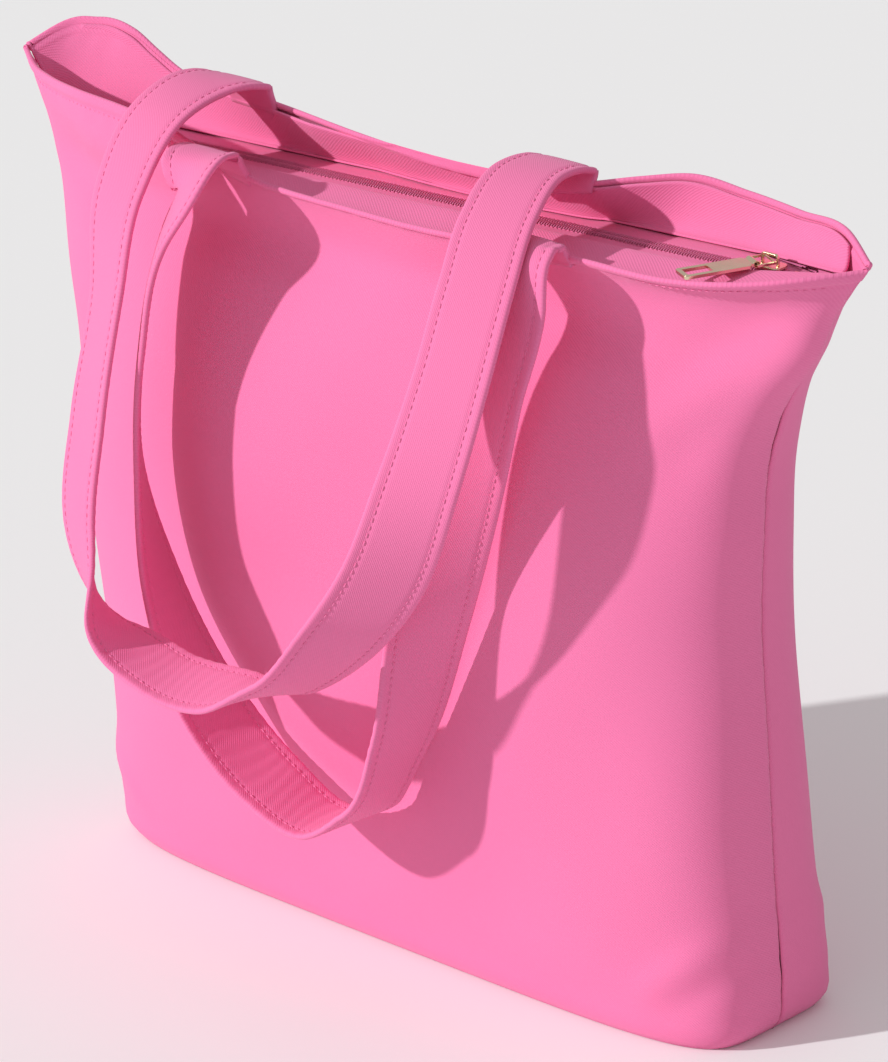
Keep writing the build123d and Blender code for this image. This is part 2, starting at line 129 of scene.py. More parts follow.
# Centre lines of the handles, each place with the direction across the strap
HANDLES = {
    FRONT: [
        ((-88.0, -45.0, 372.0), (-1.0, 0.0, 0.0)),
        ((-88.0, -48.0, 372.7), (-1.0, 0.0, 0.0)),
        ((-87.6, -51.5, 373.0), (-1.0, 0.0, 0.0)),
        ((-84.5, -58.0, 372.0), (-0.99, 0.08, -0.05)),
        ((-80.0, -69.0, 363.0), (-0.88, 0.3, -0.36)),
        ((-90.5, -76.5, 339.0), (-0.76, 0.55, -0.35)),
        ((-103.0, -84.0, 285.0), (-0.73, 0.6, -0.33)),
        ((-106.0, -89.0, 230.0), (-0.68, 0.66, -0.31)),
        ((-93.0, -90.0, 169.0), (-0.28, 0.94, -0.2)),
        ((-64.0, -90.0, 118.0), (0.0, 0.98, 0.14)),
        ((-28.0, -90.0, 91.0), (-0.08, 0.98, 0.2)),
        ((5.0, -90.0, 80.0), (-0.25, 0.95, 0.0)),
        ((36.0, -90.0, 95.0), (-0.35, 0.84, -0.42)),
        ((58.0, -88.0, 133.0), (-0.1, 0.9, -0.42)),
        ((78.0, -86.0, 196.0), (0.45, 0.82, -0.3)),
        ((98.0, -81.0, 263.0), (0.88, 0.46, 0.0)),
        ((111.0, -75.0, 310.0), (0.97, 0.18, 0.1)),
        ((119.0, -66.0, 344.0), (0.98, 0.08, 0.1)),
        ((117.0, -58.0, 367.2), (0.99, 0.0, 0.05)),
        ((115.2, -52.0, 371.0), (1.0, 0.0, 0.0)),
        ((115.0, -48.0, 371.6), (1.0, 0.0, 0.0)),
        ((115.0, -45.0, 371.6), (1.0, 0.0, 0.0)),
    ],
    BACK: [
        ((-119.0, 4.0, 387.5), (-1.0, 0.0, 0.0)),
        ((-119.0, -1.0, 389.2), (-1.0, 0.0, 0.0)),
        ((-122.5, -16.0, 391.3), (-1.0, 0.0, 0.05)),
        ((-125.0, -42.0, 384.5), (-1.0, 0.05, 0.0)),
        ((-123.0, -73.0, 354.0), (-0.97, 0.14, -0.08)),
        ((-115.0, -93.0, 310.0), (-0.92, 0.3, -0.25)),
        ((-116.0, -109.0, 255.0), (-0.91, 0.3, -0.29)),
        ((-114.0, -120.0, 205.0), (-0.9, 0.38, -0.15)),
        ((-90.0, -128.0, 169.0), (-0.76, 0.6, 0.25)),
        ((-50.0, -131.0, 154.0), (-0.75, 0.64, 0.16)),
        ((-7.0, -131.0, 155.0), (-0.78, 0.61, -0.05)),
        ((30.0, -131.0, 167.0), (-0.45, 0.7, -0.55)),
        ((60.0, -127.0, 194.0), (0.15, 0.74, -0.62)),
        ((87.0, -121.0, 230.0), (0.65, 0.65, -0.38)),
        ((104.0, -113.0, 275.0), (0.92, 0.36, 0.0)),
        ((112.0, -98.0, 320.0), (0.95, 0.28, 0.13)),
        ((110.0, -77.0, 358.0), (0.95, 0.3, 0.08)),
        ((100.0, -52.0, 380.0), (0.95, 0.25, 0.03)),
        ((89.0, -18.0, 391.0), (0.98, 0.1, 0.0)),
        ((88.0, -1.0, 389.3), (1.0, 0.0, 0.0)),
        ((88.0, 4.0, 387.5), (1.0, 0.0, 0.0)),
    ],
}
NAMES = {FRONT: "front", BACK: "back"}


# --- Lines and surfaces ------------------------------------------------------

def curve(keys, values, at):
    """Smooth line through values at keys: a cubic on each span, whose end
    slopes are the slopes of the values there."""
    keys = np.asarray(keys, float)
    values = np.asarray(values, float)
    at = np.asarray(at, float)
    slopes = np.gradient(values, keys, axis=0)
    k = np.clip(np.searchsorted(keys, at, side="right") - 1, 0, len(keys) - 2)
    shape = at.shape + (1,) * (values.ndim - 1)
    span = (keys[k + 1] - keys[k]).reshape(shape)
    t = ((at - keys[k]).reshape(shape)) / span
    return cubic(t, values[k], span * slopes[k], values[k + 1], span * slopes[k + 1])


def cubic(t, start, leaving, end, arriving):
    """A cubic from start to end as t goes from 0 to 1, with its slope at each."""
    leave = (2 * t**3 - 3 * t**2 + 1) * start + (t**3 - 2 * t**2 + t) * leaving
    return leave + (3 * t**2 - 2 * t**3) * end + (t**3 - t**2) * arriving


def smooth(value, low, high):
    """0 below low, 1 above high, and 3t^2 - 2t^3 between them."""
    t = np.clip((value - low) / (high - low), 0, 1)
    return t * t * (3 - 2 * t)


def unit(vectors):
    """Vectors divided by their lengths."""
    return vectors / np.maximum(np.linalg.norm(vectors, axis=-1, keepdims=True), 1e-9)


def travelled(points):
    """Distance along a line of points from its first."""
    return np.concatenate([[0], np.cumsum(np.linalg.norm(np.diff(points, axis=0), axis=1))])


def facing_out(grid, sign):
    """Unit normals of a grid: the cross product of its two directions."""
    return sign * unit(np.cross(np.gradient(grid, axis=0), np.gradient(grid, axis=1)))


def rolled(outer, inner, both_edges=False):
    """Adds rows to both faces of a cloth so that they meet in a half round."""
    def edge(a, a_before, b):
        middle = (a + b) / 2
        half = (a - b) / 2
        ahead = unit(a - a_before) * np.linalg.norm(half, axis=-1, keepdims=True)
        return [middle + half * math.cos(t) + ahead * math.sin(t) for t in np.radians([36, 72, 108, 144])]

    top = edge(outer[:, -1], outer[:, -2], inner[:, -1])
    outer_rows = [outer, np.stack(top[:2], 1)]
    inner_rows = [inner, np.stack(top[:1:-1], 1)]
    if both_edges:
        low = edge(outer[:, 0], outer[:, 1], inner[:, 0])
        outer_rows.insert(0, np.stack(low[1::-1], 1))
        inner_rows.insert(0, np.stack(low[2:], 1))
    return np.concatenate(outer_rows, 1), np.concatenate(inner_rows, 1)


def mesh_object(name, points, quads, cloth=None):
    """A named mesh from points in millimetres and quads, with places on the
    cloth in metres as its UV map, all its faces turned outwards."""
    mesh = bpy.data.meshes.new(name)
    mesh.from_pydata((points.reshape(-1, 3) * MM + MIDDLE).tolist(), [], quads.reshape(-1, 4).tolist())
    if cloth is not None:
        corner = np.zeros(len(mesh.loops), np.int32)
        mesh.loops.foreach_get("vertex_index", corner)
        layer = mesh.uv_layers.new(name="cloth")
        layer.data.foreach_set("uv", (cloth.reshape(-1, 2)[corner] * MM).astype(np.float32).ravel())
    shell = bmesh.new()
    shell.from_mesh(mesh)
    bmesh.ops.recalc_face_normals(shell, faces=shell.faces)
    shell.to_mesh(mesh)
    shell.free()
    mesh.polygons.foreach_set("use_smooth", np.ones(len(mesh.polygons), bool))
    piece = bpy.data.objects.new(name, mesh)
    bpy.context.scene.collection.objects.link(piece)
    return piece


def closed_cloth(name, outer, inner, cloth):
    """A cloth with two faces: each section goes along the outer face and back
    along the inner one, and the first and last sections are closed across."""
    count, rows = outer.shape[:2]
    ring = np.concatenate([outer, inner[:, ::-1]], 1)
    places = np.concatenate([cloth, cloth[:, ::-1]], 1)
    size = 2 * rows
    index = np.arange(count * size).reshape(count, size)
    here = index[:-1]
    there = index[1:]
    sides = np.stack([here, there, np.roll(there, -1, 1), np.roll(here, -1, 1)], -1)
    ends = []
    for section in (index[0], index[-1]):
        near = section[:rows]
        far = section[rows:][::-1]
        ends.append(np.stack([near[:-1], near[1:], far[1:], far[:-1]], -1))
    quads = np.concatenate([sides.reshape(-1, 4)] + ends)
    return mesh_object(name, ring, quads, places)


def repeated(name, form, quads, places, ahead, across, out):
    """One small form put at many places, each turned to its own three axes."""
    axes = np.stack([ahead, across, out], 1)
    points = places[:, None] + np.einsum("vk,nkc->nvc", form, axes)
    offsets = np.arange(len(places)) * len(form)
    return mesh_object(name, points, quads[None] + offsets[:, None, None])


def stitch_form(length, radius):
    """A stitch: a round thread that swells from one end to its middle and
    sinks at both ends, closed with a quad over each."""
    round_count = 6
    along = np.linspace(-1, 1, 5)
    turn = np.arange(round_count) / round_count * 2 * math.pi
    swell = radius * (1 - 0.55 * along**4)
    sink = -0.9 * radius * along**4
    x = np.repeat(along * length / 2, round_count)
    y = (swell[:, None] * np.cos(turn)).ravel()
    z = (swell[:, None] * np.sin(turn) + sink[:, None]).ravel()
    index = np.arange(len(x)).reshape(-1, round_count)
    quads = np.stack([index[:-1], index[1:], np.roll(index[1:], -1, 1), np.roll(index[:-1], -1, 1)], -1)
    cap = np.array([[0, 1, 2, 3], [0, 3, 4, 5]])
    far_cap = cap + len(x) - round_count
    return np.stack([x, y, z], 1), np.concatenate([quads.reshape(-1, 4), cap, far_cap])


def stitch_row(name, lines, normals, length=2.9, gap=0.9, radius=THREAD):
    """Rows of stitches laid end to end along lines on a surface."""
    form, quads = stitch_form(length, radius)
    places = []
    aheads = []
    outs = []
    for line, normal in zip(lines, normals):
        reach = travelled(line)
        at = np.arange(length, reach[-1] - length, length + gap)
        spots = np.stack([np.interp(at, reach, line[:, k]) for k in range(3)], 1)
        slopes = np.gradient(line, axis=0)
        ahead = unit(np.stack([np.interp(at, reach, slopes[:, k]) for k in range(3)], 1))
        out = np.stack([np.interp(at, reach, normal[:, k]) for k in range(3)], 1)
        out = unit(out - ahead * (out * ahead).sum(1, keepdims=True))
        places.append(spots)
        aheads.append(ahead)
        outs.append(out)
    ahead = np.concatenate(aheads)
    out = np.concatenate(outs)
    return repeated(name, form, quads, np.concatenate(places), ahead, np.cross(out, ahead), out)


# --- Finishes ----------------------------------------------------------------

class Value:
    """A varying number in a material. Sums, differences and products of it
    add the Math nodes that work them out."""

    def __init__(self, finish, socket):
        self.finish = finish
        self.socket = socket

    def maths(self, operation, first, second=0.0):
        return self.finish.add("ShaderNodeMath", {"operation": operation}, {0: first, 1: second})

    def __add__(self, other):
        return self.maths("ADD", self, other)

    def __sub__(self, other):
        return self.maths("SUBTRACT", self, other)

    def __mul__(self, other):
        return self.maths("MULTIPLY", self, other)

    def __rsub__(self, other):
        return self.maths("SUBTRACT", other, self)

    __radd__ = __add__
    __rmul__ = __mul__

    def beside(self, output):
        """Another output of the same node."""
        return Value(self.finish, self.socket.node.outputs[output])

    def sine(self):
        return self.maths("SINE", self)

    def rounded_wave(self):
        """0 to 1 and back once for every turn of 2 pi."""
        return self.sine() * 0.5 + 0.5


class Finish:
    """A material: its shader's constant settings, and one way to add a node."""

    def __init__(self, name, constants):
        self.material = bpy.data.materials.new(name)
        self.material.use_nodes = True
        self.tree = self.material.node_tree
        self.shader = self.tree.nodes["Principled BSDF"]
        for socket, value in constants.items():
            self.shader.inputs[socket].default_value = value

    def put(self, socket, value):
        if isinstance(value, Value):
            self.tree.links.new(value.socket, socket)
        else:
            socket.default_value = value

    def add(self, kind, settings=None, inputs=None, output=0):
        """A node of a kind: its settings first, then values or links."""
        node = self.tree.nodes.new(kind)
        for key, value in (settings or {}).items():
            setattr(node, key, value)
        for key, value in (inputs or {}).items():
            self.put(node.inputs[key], value)
        return Value(self, node.outputs[output])

    def cloth_place(self):
        """Place on the cloth, with its distances along and across, in metres."""
        place = self.add("ShaderNodeUVMap", {"uv_map": "cloth"})
        along = self.add("ShaderNodeSeparateXYZ", {}, {0: place})
        return place, along, along.beside(1)

    def object_place(self):
        """Place in the piece's own Object coordinates, in metres."""
        return self.add("ShaderNodeTexCoord", {}, {}, 3)

    def noise(self, place, scale, detail=2.0):
        return self.add("ShaderNodeTexNoise", {}, {"Vector": place, "Scale": scale, "Detail": detail})

    def colour(self, share, first, second):
        """A colour between two, by a share."""
        return self.add("ShaderNodeMix", {"data_type": "RGBA"}, {0: share, 6: first, 7: second}, 2)

    def bump(self, height, distance):
        return self.add("ShaderNodeBump", {}, {"Distance": distance, "Height": height})

    def show(self, **links):
        for name, value in links.items():
            self.put(self.shader.inputs[name.replace("_", " ")], value)
        return self.material


PINK_LIT = (0.90, 0.225, 0.45, 1.0)
PINK_DEEP = (0.82, 0.16, 0.36, 1.0)
TURN = 2 * math.pi


def twill(name, rib, slant, relief, light, deep):
    """Twill canvas: diagonal ribs, crossed by single yarns, with uneven
    slubs and a fine nap. Its colour is partly painted shade, darker in the valleys of
    the ribs and yarns, and partly random tone from slubs and slow patches. The rib is its pitch in metres,
    the slant how far the ribs climb for each step along."""
    finish = Finish(name, {
        "Sheen Weight": 0.22, "Sheen Roughness": 0.45, "Sheen Tint": (1.0, 0.72, 0.86, 1.0),
        "Specular IOR Level": 0.18})
    place, along, up = finish.cloth_place()
    wobble = finish.noise(place, 260.0, 2.0) * 1.6
    ribs = ((along * slant + up) * (TURN / rib) + wobble).rounded_wave()
    yarns = ((along - up * slant) * (TURN / (rib * 0.62)) + wobble).rounded_wave()
    slubs = finish.noise(place, 900.0, 3.0)
    patches = finish.noise(place, 9.0, 3.0)
    weave = ribs * 0.5 + yarns * 0.22 + slubs * 0.55
    # Colour share: painted shade, darker in the rib and yarn valleys, plus random tone from slubs and patches
    valley_shade_and_tone = weave * 0.5 + patches * 0.3 + 0.1
    return finish.show(
        Base_Color=finish.colour(valley_shade_and_tone, deep, light),
        Roughness=0.9 - weave * 0.08,
        Normal=finish.bump(weave, relief))


def thread_finish():
    """Polyester sewing thread: a tight slanted twist over a satin surface."""
    finish = Finish("sewing thread", {"Sheen Weight": 0.15, "Specular IOR Level": 0.3})
    place = finish.object_place()
    along = finish.add("ShaderNodeSeparateXYZ", {}, {0: place})
    twist = ((along * 0.7 + along.beside(2)) * (TURN / 0.0009)).rounded_wave()
    fuzz = finish.noise(place, 1500.0, 2.0)
    return finish.show(
        Base_Color=finish.colour(twist * 0.5 + fuzz * 0.4, PINK_DEEP, PINK_LIT),
        Roughness=0.62 + fuzz * 0.2,
        Normal=finish.bump(twist, 0.00012))


def tape_finish():
    """Zip tape: a narrow herringbone of fine warp yarns."""
    finish = Finish("woven zip tape", {"Sheen Weight": 0.1, "Specular IOR Level": 0.2})
    place, along, up = finish.cloth_place()
    zigzag = (up * (TURN / 0.005)).sine() * 1.2
    warp = (up * (TURN / 0.0008)).rounded_wave()
    weft = (along * (TURN / 0.0011) + zigzag).rounded_wave()
    grain = finish.noise(place, 700.0, 2.0)
    weave = warp * 0.4 + weft * 0.4 + grain * 0.3
    return finish.show(
        Base_Color=finish.colour(weave * 0.8, PINK_DEEP, PINK_LIT),
        Roughness=0.88 - weave * 0.1,
        Normal=finish.bump(weave, 0.00025))


def coil_finish():
    """Dyed nylon coil: satin, a little paler where it is worn by the slider."""
    finish = Finish("nylon coil", {"Specular IOR Level": 0.45, "Subsurface Weight": 0.04})
    place = finish.object_place()
    wear = finish.noise(place, 400.0, 3.0)
    return finish.show(
        Base_Color=finish.colour(wear, (0.62, 0.12, 0.29, 1.0), (0.86, 0.27, 0.46, 1.0)),
        Roughness=0.34 + wear * 0.2,
        Normal=finish.bump(wear, 0.00005))


def metal_finish():
    """Pale gold plating over a tumbled casting: polished, with faint clouds,
    hairlines and a few duller spots."""
    finish = Finish("pale gold plating", {"Metallic": 1.0, "Coat Weight": 0.15, "Coat Roughness": 0.1})
    place = finish.object_place()
    clouds = finish.noise(place, 120.0, 4.0)
    stretch = finish.add("ShaderNodeMapping", {}, {"Vector": place, "Scale": (300.0, 2600.0, 900.0)})
    hairs = finish.noise(stretch, 1.0, 3.0)
    return finish.show(
        Base_Color=finish.colour(clouds, (0.74, 0.60, 0.38, 1.0), (0.88, 0.77, 0.56, 1.0)),
        Roughness=0.13 + clouds * 0.12 + hairs * 0.1,
        Normal=finish.bump(hairs * 0.5 + clouds * 0.5, 0.00002))


CANVAS_FINISH = twill("pink twill canvas", 0.0012, 0.62, 0.00017, PINK_LIT, PINK_DEEP)
STRAP_FINISH = twill("pink strap canvas", 0.0012, 0.8, 0.00015, PINK_LIT, PINK_DEEP)
THREAD_FINISH = thread_finish()
TAPE_FINISH = tape_finish()
COIL_FINISH = coil_finish()
METAL_FINISH = metal_finish()


def dressed(piece, finish):
    """Gives a piece its finish as its only material."""
    piece.data.materials.clear()
    piece.data.materials.append(finish)
    return piece


# --- Body --------------------------------------------------------------------

def half_outline(level, side, across):
    """Half a superellipse from the left seam to the right one, x = w cos^(2/n)
    and y = d sin^(2/n), at shares of its length."""
    z, left, right, front, back, left_power, right_power = level
    angle = math.pi * (1 - np.linspace(0, 1, 4001))
    cosine = np.cos(angle)
    if side == BACK:
        right_power = right_power * REAR_SQUARE
    power = 2 / np.where(cosine < 0, left_power, right_power)
    x = np.sign(cosine) * np.abs(cosine) ** power * np.where(cosine < 0, left, right)
    depth = front if side == FRONT else back
    y = side * (SEAM_GAP + depth * np.abs(np.sin(angle)) ** power)
    reach = travelled(np.stack([x, y], 1))
    at = across * reach[-1]
    return np.stack([np.interp(at, reach, x), np.interp(at, reach, y), np.full_like(at, z)], -1)


def rim_place(side, x):
    """Depth and height of a rim at x."""
    rim = np.array(RIMS[side])
    return curve(rim[:, 0], rim[:, 1:], np.clip(x, -CORNER_X, CORNER_X))


def fold(x, z, start, end, depth, width):
    """A fold along a line: depth times a bell across it, exp(-(d/width)^2),
    rising from the line's start and dying out at its end."""
    ahead = np.array(end) - np.array(start)
    length = np.linalg.norm(ahead)
    run = ((x - start[0]) * ahead[0] + (z - start[1]) * ahead[1]) / length**2
    aside = ((x - start[0]) * ahead[1] - (z - start[1]) * ahead[0]) / length
    fade = smooth(run, -0.05, 0.4) * smooth(1 - run, -0.05, 0.4)
    return depth * fade * np.exp(-(aside / width) ** 2)


# Folds of each panel: start and end as (x, z), depth outwards, width
FOLDS = {
    FRONT: [
        ((255, 372), (150, 300), -2.6, 13), ((262, 368), (190, 270), 2.2, 10),
        ((232, 322), (160, 262), -2.0, 14), ((205, 318), (198, 190), 1.6, 16),
        ((-262, 370), (-205, 262), 2.4, 12), ((-250, 366), (-150, 300), -2.4, 14),
        ((-232, 330), (-214, 170), -1.8, 15), ((205, 60), (150, 14), 2.4, 8),
        ((208, 42), (160, 4), -1.6, 6), ((-208, 60), (-158, 12), 2.2, 8),
        ((120, 356), (95, 250), 1.5, 22), ((-90, 360), (-120, 250), 1.6, 24),
        ((20, 340), (40, 180), -1.2, 40), ((-40, 150), (60, 40), 1.4, 45),
        ((130, 200), (165, 40), -1.5, 28), ((-170, 210), (-120, 60), 1.3, 30),
    ],
    BACK: [
        ((258, 372), (170, 300), -2.6, 13), ((-258, 372), (-170, 300), -2.6, 13),
        ((212, 320), (150, 230), 2.4, 15), ((-226, 320), (-160, 220), 2.2, 15),
        ((205, 60), (150, 14), 2.4, 8), ((-208, 60), (-158, 12), 2.2, 8),
        ((90, 350), (60, 200), 1.8, 26), ((-110, 350), (-70, 190), 1.8, 28),
        ((10, 230), (-60, 60), -1.6, 40), ((120, 190), (170, 60), 1.5, 30),
    ],
}
WALL_STEPS = 96
COLUMNS = 250


def hem_share(under_rim):
    """1 in the turned hem, falling to 0 just above its stitch row."""
    return 1 - smooth(under_rim, HEM_ROW - 1.6, HEM_ROW - 0.2)


def panel_face(side, across, below_rim=None):
    """Outer face of a panel and its normals. It runs from the bottom seam out
    under the base and up a smooth curve through the levels to the rim; folds,
    slow ripples, seam puckers and the turned hem stand off it along its
    normals. With below_rim, only that many millimetres under the rim."""
    rows = [half_outline(level, side, across) for level in LEVELS]
    rows[0][:, 2] = BASE_EDGE_LIFT
    top = rows[-1]
    reach = np.where(top[:, 0] < 0, LEVELS[-1][1], LEVELS[-1][2])
    rim_x = top[:, 0] + (CORNER_X - reach) * (top[:, 0] / reach) ** 3
    rim = rim_place(side, rim_x)
    rows.append(np.stack([rim_x, rim[:, 0], rim[:, 1]], 1))
    rows = np.array(rows)
    keys = np.concatenate([[0], np.cumsum(np.linalg.norm(np.diff(rows, axis=0), axis=2).mean(1))])
    height = keys[-1]
    if below_rim is None:
        at_hem = height - np.linspace(HEM_BAND - 1, 0, HEM_STEPS)
        at = np.concatenate([np.linspace(0, height - HEM_BAND, WALL_STEPS), at_hem])
    else:
        at = height - below_rim + np.array([-1.0, 0.0, 1.0])
    wall = curve(keys, rows, at)
    run = np.broadcast_to(at[:, None], wall.shape[:2])
    if below_rim is None:
        base_half = LEVELS[0][1]
        seam = np.stack([base_half * (2 * across - 1), np.full_like(across, side * SEAM_GAP), 0 * across], 1)
        edge = rows[0] * np.array(BASE_INSET)
        share = np.linspace(0, 1, BASE_STEPS)[:, None, None]
        base = seam + (edge - seam) * share
        out = np.linalg.norm(edge - seam, axis=1)
        base_run = (share[..., 0] - 1) * out - 1.0
        wall = np.concatenate([base, wall])
        run = np.concatenate([base_run, run])
    grid = wall.transpose(1, 0, 2)
    run = run.T
    normals = facing_out(grid, -side)
    x = grid[..., 0]
    z = grid[..., 2]
    sag = sum(fold(x, z, *f) for f in FOLDS[side])
    sag = sag + 0.7 * np.sin(x / 31 + z / 47 + side) + 0.5 * np.sin(x / 17 - z / 23 + 2)
    sag = sag * smooth(z, 4, 45) * (1 - smooth(z, 352, 372))
    from_seam = np.minimum(across, 1 - across)[:, None] * PANEL_ACROSS
    wobble = 0.8 * np.sin(z / 19) + 0.5 * np.sin(z / 7.3)
    pucker = 0.16 * np.exp(-from_seam / 6) * np.sin(z / 2.1 + wobble) * smooth(z, 4, 20)
    under_rim = height - run
    hem_wave = 0.1 * np.sin(x / 2.3 + 1.5 * np.sin(x / 13)) * np.exp(-(((under_rim - 7) / 5) ** 2))
    hem = HEM_SWELL * hem_share(under_rim)
    hem = hem - 0.45 * np.exp(-(((under_rim - HEM_ROW) / 0.9) ** 2))
    turned = -SEAM_TURN * np.exp(-((from_seam / SEAM_TURN) ** 2))
    wall_only = smooth(z, 1, 6)
    lift = sag + (pucker + hem_wave + hem + turned) * wall_only
    grid = grid + normals * lift[..., None]
    grid[..., 1] = side * np.maximum(side * grid[..., 1], SEAM_GAP)
    if below_rim is None:
        grid[[0, -1], :, 1] = side * SEAM_TOUCH
    grid[..., 2] = np.maximum(grid[..., 2], 0.0)
    cloth = np.stack([np.broadcast_to(across[:, None] * PANEL_ACROSS, run.shape), run], -1)
    return grid, facing_out(grid, -side), cloth, under_rim


def column_shares(count):
    """Shares of a panel's width, twice as close together at the seams."""
    t = np.linspace(0, 1, count)
    return 0.5 * t + 0.25 * (1 - np.cos(math.pi * t))


def panel(side):
    """A panel of canvas, two faces and a rolled rim."""
    outer, normals, cloth, under_rim = panel_face(side, column_shares(COLUMNS))
    thick = CANVAS + HEM_SWELL * hem_share(under_rim)
    inner = outer - normals * thick[..., None]
    inner[..., 1] = side * np.maximum(side * inner[..., 1], SEAM_GAP + SEAM_TOUCH)
    flat_base = outer[..., 2] < 0.5
    inner[..., 2] = np.where(flat_base, CANVAS, np.maximum(inner[..., 2], CANVAS))
    outer, inner = rolled(outer, inner)
    extra = np.repeat(cloth[:, -1:], 2, 1)
    cloth = np.concatenate([cloth, extra], 1)
    name = NAMES[side] + "_panel_cloth"
    piece = dressed(closed_cloth(name, outer, inner, cloth), CANVAS_FINISH)
    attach(piece, "bag")
    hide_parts(NAMES[side] + "_panel")
    return piece


def hem_stitches(side):
    """Topstitching round the rim, on the outside of a panel."""
    across = np.linspace(0.025, 0.975, 600)
    grid, normals, _, _ = panel_face(side, across, HEM_ROW)
    line = grid[:, 1] + normals[:, 1] * STITCH_LIFT
    name = NAMES[side] + "_hem_stitches"
    piece = dressed(stitch_row(name, [line], [normals[:, 1]]), THREAD_FINISH)
    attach(piece, "bag")
    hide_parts(NAMES[side] + "_rim_stitching")
    return piece


def zip_height(x):
    """Height of the zip's centre line."""
    return ZIP_MIDDLE + ZIP_RISE * x


def tape_edge(x):
    """Distance of a tape's outer edge from the centre line."""
    return np.maximum(TAPE_EDGE * np.minimum(1.0, (256 - np.abs(x)) / 60), 2.2)


def facing_line(side, x, share):
    """The facing's upper face: a cubic in the plane across the mouth that
    leaves the rim along the panel and meets the zip tape level."""
    rim = rim_place(side, x)
    rim_y = side * rim[:, 0]
    top_y = np.maximum(rim_y - 3.1, 2.0)
    top_z = rim[:, 1] - 1.6
    low_y = np.minimum(tape_edge(x), np.maximum(rim_y + 12, 2.2))
    low_z = zip_height(x) + 1.05 + np.maximum(0.0, (np.abs(x) - 190) / 60) * 4
    drop = np.hypot(top_y - low_y, top_z - low_z)
    panel_y = np.where(side == FRONT, 40.0, 25.0) - rim_y
    lean = unit(np.stack([panel_y, np.minimum(354 - top_z, -6.0)], 1)) * drop[:, None] * 0.9
    t = share[None, :]
    along_y = cubic(t, top_y[:, None], lean[:, :1] * 0.6, low_y[:, None], -0.8 * drop[:, None])
    along_z = cubic(t, top_z[:, None], lean[:, 1:], low_z[:, None], 0.0)
    wide = np.broadcast_to(x[:, None], along_y.shape)
    grid = np.stack([wide, side * along_y, along_z], -1)
    normals = facing_out(grid, side)
    wave = 0.5 * np.sin(x / 23 + side) + 0.3 * np.sin(x / 9.1)
    belly = (wave[:, None] * np.sin(math.pi * t))[..., None]
    return grid + normals * belly, drop


def facing(side):
    """A facing of canvas from the rim in to the zip, its edge rolled under."""
    x = np.linspace(-249, 251, 300)
    share = np.linspace(0, 1, 18)
    upper, drop = facing_line(side, x, share)
    normals = facing_out(upper, side)
    lower = upper - normals * FACING_CLOTH
    cloth = np.stack(np.broadcast_arrays(x[:, None] + CORNER_X, share * drop[:, None]), -1)
    upper, lower = rolled(upper, lower)
    cloth = np.concatenate([cloth, np.repeat(cloth[:, -1:], 2, 1)], 1)
    name = NAMES[side] + "_facing_cloth"
    piece = dressed(closed_cloth(name, upper, lower, cloth), CANVAS_FINISH)
    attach(piece, "bag")
    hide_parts(NAMES[side] + "_facing")
    return piece


def facing_stitches(side):
    """Topstitching along both edges of a facing."""
    x = np.linspace(-238, 240, 500)
    share = np.array([0.0, 0.14, 0.2, 0.86, 0.92, 0.98])
    grid, _ = facing_line(side, x, share)
    normals = facing_out(grid, side)
    lines = [grid[:, k] + normals[:, k] * 0.1 for k in (1, 4)]
    name = NAMES[side] + "_facing_stitches"
    piece = dressed(stitch_row(name, lines, [normals[:, 1], normals[:, 4]]), THREAD_FINISH)
    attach(piece, "bag")
    return piece


# --- Zip ---------------------------------------------------------------------

def tape(side):
    """A zip tape: level under the facing, dipping below the coil."""
    x = np.linspace(-238, 240, 240)
    share = np.linspace(0, 1, 14)
    edge = tape_edge(x)[:, None] + 1.5
    y = 0.55 + (edge - 0.55) * share
    dip = -1.45 * (1 - smooth(y, 2.8, 4.6))
    z = zip_height(x)[:, None] + dip + 0.12 * np.sin(x / 8)[:, None]
    upper = np.stack([np.broadcast_to(x[:, None], y.shape), side * y, z + TAPE / 2], -1)
    lower = upper - np.array([0.0, 0.0, TAPE])
    cloth = np.stack(np.broadcast_arrays(x[:, None] + CORNER_X, y), -1)
    name = NAMES[side] + "_tape_cloth"
    piece = dressed(closed_cloth(name, upper, lower, cloth), TAPE_FINISH)
    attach(piece, "bag")
    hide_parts(NAMES[side] + "_zip_tape")
    return piece


def coil(side):
    """Half of the coil: loops of nylon, each a slanted oval of round wire,
    set half a pitch from those of the other half."""
    rounds = 12
    wire = 5
    turn = np.arange(rounds) / rounds * 2 * math.pi
    twist = np.arange(wire) / wire * 2 * math.pi
    radial_y = np.cos(turn)[:, None]
    radial_z = np.sin(turn)[:, None]
    wire_radius = 0.36
    half_width = 1.45
    half_height = 0.95
    slant = 0.28
    y = half_width * radial_y + wire_radius * np.cos(twist) * radial_y
    z = half_height * radial_z + wire_radius * np.cos(twist) * radial_z
    x = wire_radius * np.sin(twist) + slant * radial_z
    form = np.stack([x, y, z], -1).reshape(-1, 3)
    index = np.arange(rounds * wire).reshape(rounds, wire)
    there = np.roll(index, -1, 0)
    quads = np.stack([index, there, np.roll(there, -1, 1), np.roll(index, -1, 1)], -1).reshape(-1, 4)
    places_x = np.arange(ZIP_LEFT + 1, ZIP_RIGHT - 1, COIL_PITCH) + (COIL_PITCH / 2 if side == BACK else 0)
    places = np.stack([places_x, np.full_like(places_x, side * 1.75), zip_height(places_x)], 1)
    axis = np.ones((len(places), 1))
    piece = repeated(
        NAMES[side] + "_coil_loops", form, quads, places,
        axis * np.array([1.0, 0, 0]), axis * np.array([0, 1.0, 0]), axis * np.array([0, 0, 1.0]))
    dressed(piece, COIL_FINISH)
    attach(piece, "bag")
    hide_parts(NAMES[side] + "_zip_coil")


